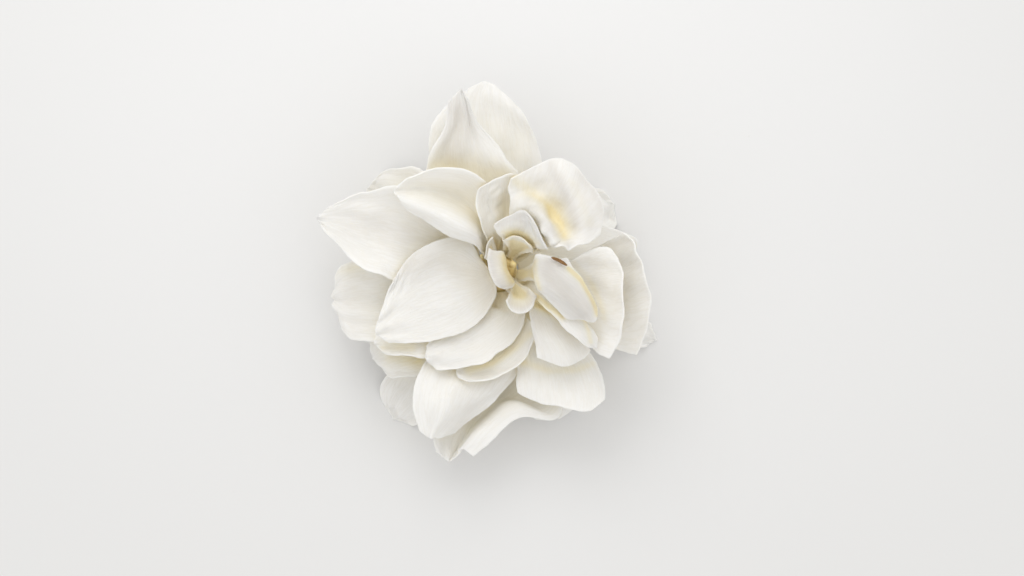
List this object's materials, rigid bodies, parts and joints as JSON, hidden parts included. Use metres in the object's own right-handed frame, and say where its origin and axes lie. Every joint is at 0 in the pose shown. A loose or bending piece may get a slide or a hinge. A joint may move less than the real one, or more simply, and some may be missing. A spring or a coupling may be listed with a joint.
{
  "type": "preserved gardenia flower",
  "caption": "Preserved gardenia flower head: thin cream petals in overlapping rings round a golden heart, lying on its lower petals with the face up.",
  "frame": {"origin": "on the surface the flower lies on, at the middle of its bounding box's base", "axes": "+Z up, away from the surface and towards the viewer; +X to the right and +Y up in the picture"},
  "size_m": [0.0724, 0.081, 0.0341],
  "materials": {
    "petal": "soft matt preserved petal, cream white",
    "heart_petal": "soft matt preserved petal, golden towards its root",
    "core_tissue": "dried plant tissue, golden brown",
    "tube_tissue": "dried plant tissue, yellow green",
    "green_tissue": "dried plant tissue, olive green",
    "anther_tissue": "dried anther, dark brown"
  },
  "bodies": {
    "root": {"petal_outer_nw": "petal", "petal_outer_sw": "petal", "petal_outer_ese": "petal", "petal_outer_ne": "petal", "petal_outer_wsw": "petal", "petal_outer_ene": "petal", "petal_outer_sse": "petal", "petal_outer_ssw": "petal", "petal_outer_w": "petal", "petal_outer_n": "petal", "petal_middle_ssw": "petal", "petal_middle_sse": "petal", "petal_middle_s": "petal", "petal_middle_wsw": "petal", "petal_middle_wnw": "petal", "petal_middle_n": "petal", "petal_middle_e": "petal", "petal_middle_sw": "petal", "petal_middle_w": "petal", "petal_inner_s": "petal", "petal_inner_nw": "petal", "petal_inner_n": "petal", "petal_inner_e": "petal", "petal_inner_ne": "petal", "petal_inner_ese": "petal", "petal_heart_nw": "heart_petal", "petal_heart_north": "heart_petal", "petal_heart_east": "heart_petal", "petal_heart_south": "heart_petal", "petal_heart_inner": "heart_petal", "petal_heart_west": "heart_petal", "core": "core_tissue", "corolla_tube": "tube_tissue", "calyx": "green_tissue", "pedicel_end": "green_tissue", "stigma": "core_tissue", "anther_east": "anther_tissue"}
  },
  "joints": []
}
